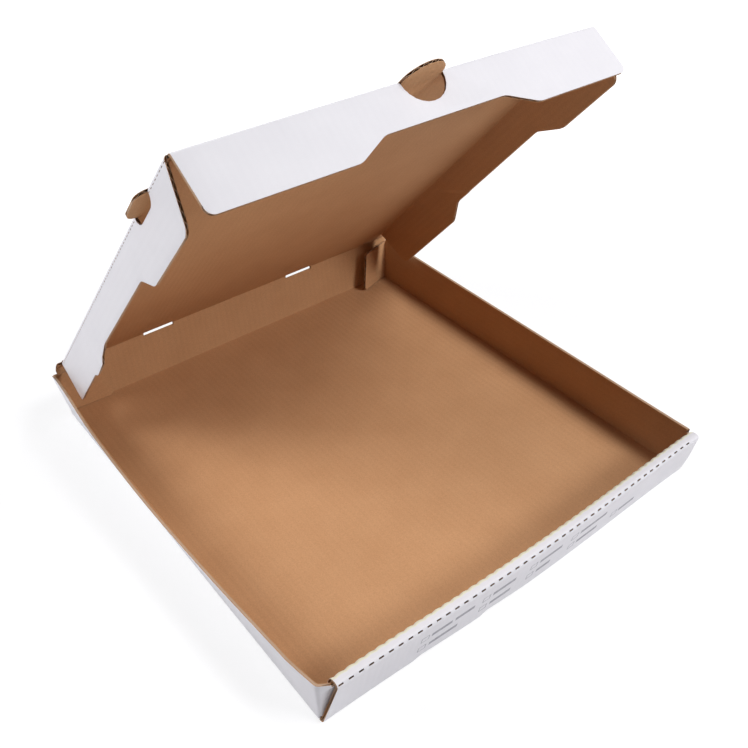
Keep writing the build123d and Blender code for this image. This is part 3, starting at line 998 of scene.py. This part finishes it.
for side, name in ((-1, "left"), (1, "right")):
    rear = lid_point(side * side_half(side, 0), 0, 0)
    front = lid_point(side * side_half(side, lid_reach), lid_reach, 0)
    along = (front - rear).normalized()
    lid_up = (lid_point(0, 0, 1) - lid_point(0, 0, 0)).normalized()
    out = along.cross(lid_up).normalized()
    out = out if out.x * side > 0 else -out

    def side_flap_shape(drop, reach, depth, rear=rear, along=along, lid_up=lid_up, out=out, side=side):
        at = flap_section(drop + crease_run, depth)
        low, high = side_splay[side]
        lift = math.radians(low + (high - low) * reach / lid_reach)
        if drop > 0:
            at = complex(at.real - at.imag * math.sin(lift), at.imag * math.cos(lift))
        if side > 0:
            off = reach - buckle_reach - buckle_slant * drop
            ridge = max(0.0, 1 - abs(off) / (buckle_steep if off > 0 else buckle_gentle))
            at += buckle_depth * ridge * min(1.0, max(0.0, drop) / buckle_fade)
        drawn = lid_warp(side * lid_half_front, reach) * (1 - min(1.0, max(0.0, drop) / ear_depth))
        return rear + along * (reach + drawn) + out * at.real + lid_up * at.imag

    flap_rear = side_rears[side]
    side_outline = [
        (-crease_run, flap_rear, 0),
        (0, flap_rear, 0),
        *side_ears[side],
        (waist_depth, side_waist_rear, step_corner),
        (waist_depth, side_steps[side][1], step_corner),
        (ear_depth, side_steps[side][0], step_corner),
        (ear_depth, side_front_foot, ear_corner),
        (0, side_front, 0),
        (-crease_run, side_front - 1, 0),
        (-crease_run, side_vent_front, 0),
        (side_vent_depth, side_vent_front, side_vent_corner),
        (side_vent_depth, side_vent_rear, side_vent_corner),
        (-crease_run, side_vent_rear, 0),
    ]
    slits = []
    centre = section_turns[0][1] - crease_run + crease_slit_lower
    for index in range(int((side_front - side_rear) / crease_slit_pitch)):
        middle = side_rear + (index + crease_slit_start) * crease_slit_pitch
        slits.append((centre - crease_slit_width / 2, centre + crease_slit_width / 2,
                      middle - crease_slit_length / 2, middle + crease_slit_length / 2))
    side_flap = make_board(
        f"lid_{name}_flap_board", side_outline, side_flap_shape, flap_rows + buckle_columns[side],
        steps(side_rear, side_front, lid_spacing) + buckle_rows[side], slits=slits, flutes=[side_outline],
        joined=lambda u, s: u < joint_tolerance - crease_run,
    )
    middle = rear + along * (lid_reach / 2)
    blend_start = middle - out * crease_inset
    blend_end = middle - lid_up * crease_inset
    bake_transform(side_flap, "lid", f"{name}_flap", blend_start * millimetre, blend_end * millimetre)
    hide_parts(f"lid_{name}_flap")

# Studio: a white table, four softboxes (two at the front right, one at the back left and one behind) and a
# camera at the photograph's place.
picture_side = 748
camera_place = Vector((-421.17, -483.10, 594.88))
camera_turn = 0.62666
camera_tilt = -0.60492
camera_roll = -0.01351
camera_focus = 917.51
camera_shift = Vector((76.39, -68.04))
lens = bpy.data.cameras.new("camera")
lens.sensor_width = 36.0
lens.lens = camera_focus / picture_side * lens.sensor_width
lens.shift_x = camera_shift.x / picture_side
lens.shift_y = camera_shift.y / picture_side
lens.clip_start = 0.01
camera = bpy.data.objects.new("camera", lens)
turned = Matrix.Rotation(-camera_turn, 4, "Z") @ Matrix.Rotation(math.pi / 2 + camera_tilt, 4, "X")
rolled = turned @ Matrix.Rotation(camera_roll, 4, "Z")
camera.matrix_world = Matrix.Translation(camera_place * millimetre) @ rolled
bpy.context.scene.collection.objects.link(camera)
bpy.context.scene.camera = camera


def seen_rays(tree):
    """One for rays that the camera sees, straight, mirrored or through something, and nought for others."""
    rays = node(tree, "ShaderNodeLightPath")
    level = rays.outputs["Is Camera Ray"]
    for kind in ("Is Glossy Ray", "Is Transmission Ray"):
        either = node(tree, "ShaderNodeMath", {0: level, 1: rays.outputs[kind]}, operation="MAXIMUM")
        level = either.outputs[0]
    return level


table_mesh = bmesh.new()
bmesh.ops.create_circle(table_mesh, cap_ends=True, segments=64, radius=6.0)
table_data = bpy.data.meshes.new("table")
table_mesh.to_mesh(table_data)
table_mesh.free()
table = bpy.data.objects.new("table", table_data)
table.location.z = -0.0005
bpy.context.scene.collection.objects.link(table)
table_white = bpy.data.materials.new("table_white")
table_white.use_nodes = True
tree = table_white.node_tree
tree.nodes.clear()
seen_matt = node(tree, "ShaderNodeBsdfDiffuse", {"Color": (0.30, 0.30, 0.31, 1)})
table_place = node(tree, "ShaderNodeTexCoord")
table_far = node(tree, "ShaderNodeVectorMath", {0: table_place.outputs["Object"]}, operation="LENGTH")
table_level = node(tree, "ShaderNodeMapRange",
                   {"Value": table_far.outputs["Value"], "From Min": 0.3, "From Max": 0.9,
                    "To Min": 0.74, "To Max": 1.0}, interpolation_type="SMOOTHSTEP")
seen_white = node(tree, "ShaderNodeEmission", {"Color": (1, 1, 1, 1), "Strength": table_level.outputs[0]})
seen_table = node(tree, "ShaderNodeAddShader", {0: seen_matt.outputs[0], 1: seen_white.outputs[0]})
bounce_table = node(tree, "ShaderNodeBsdfDiffuse", {"Color": (0.80, 0.80, 0.81, 1)})
mixed = node(tree, "ShaderNodeMixShader",
             {0: seen_rays(tree), 1: bounce_table.outputs[0], 2: seen_table.outputs[0]})
node(tree, "ShaderNodeOutputMaterial", {"Surface": mixed.outputs[0]})
table.data.materials.append(table_white)
table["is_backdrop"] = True

world = bpy.data.worlds.new("studio")
world.use_nodes = True
bpy.context.scene.world = world
tree = world.node_tree
backdrop = tree.nodes["Background"]
level = node(tree, "ShaderNodeMapRange", {"Value": seen_rays(tree), "To Min": 0.03, "To Max": 1.0})
tree.links.new(level.outputs[0], backdrop.inputs["Strength"])
backdrop.inputs["Color"].default_value = (1, 1, 1, 1)


def soft_light(name, place, aim, size, power):
    """A softbox at a place, turned to face what it lights."""
    data = bpy.data.lights.new(name, "AREA")
    data.shape = "RECTANGLE"
    data.size, data.size_y = size
    data.energy = power
    lamp = bpy.data.objects.new(name, data)
    lamp.location = place
    lamp.rotation_mode = "QUATERNION"
    lamp.rotation_quaternion = (Vector(aim) - Vector(place)).to_track_quat("-Z", "Y")
    bpy.context.scene.collection.objects.link(lamp)


soft_light("key", (0.95, -0.8, 2.15), (0, 0, 0.1), (0.8, 0.8), 26)
soft_light("front", (0.9, -1.65, 1.5), (0, 0, 0.1), (0.8, 0.7), 28)
soft_light("back_left", (-1.6, 1.05, 1.25), (0, 0, 0.1), (0.9, 0.9), 32)
soft_light("back", (0.5, 2.0, 1.2), (0, 0, 0.1), (1.5, 0.9), 8)

bpy.context.scene.view_settings.view_transform = "Standard"
low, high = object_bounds()
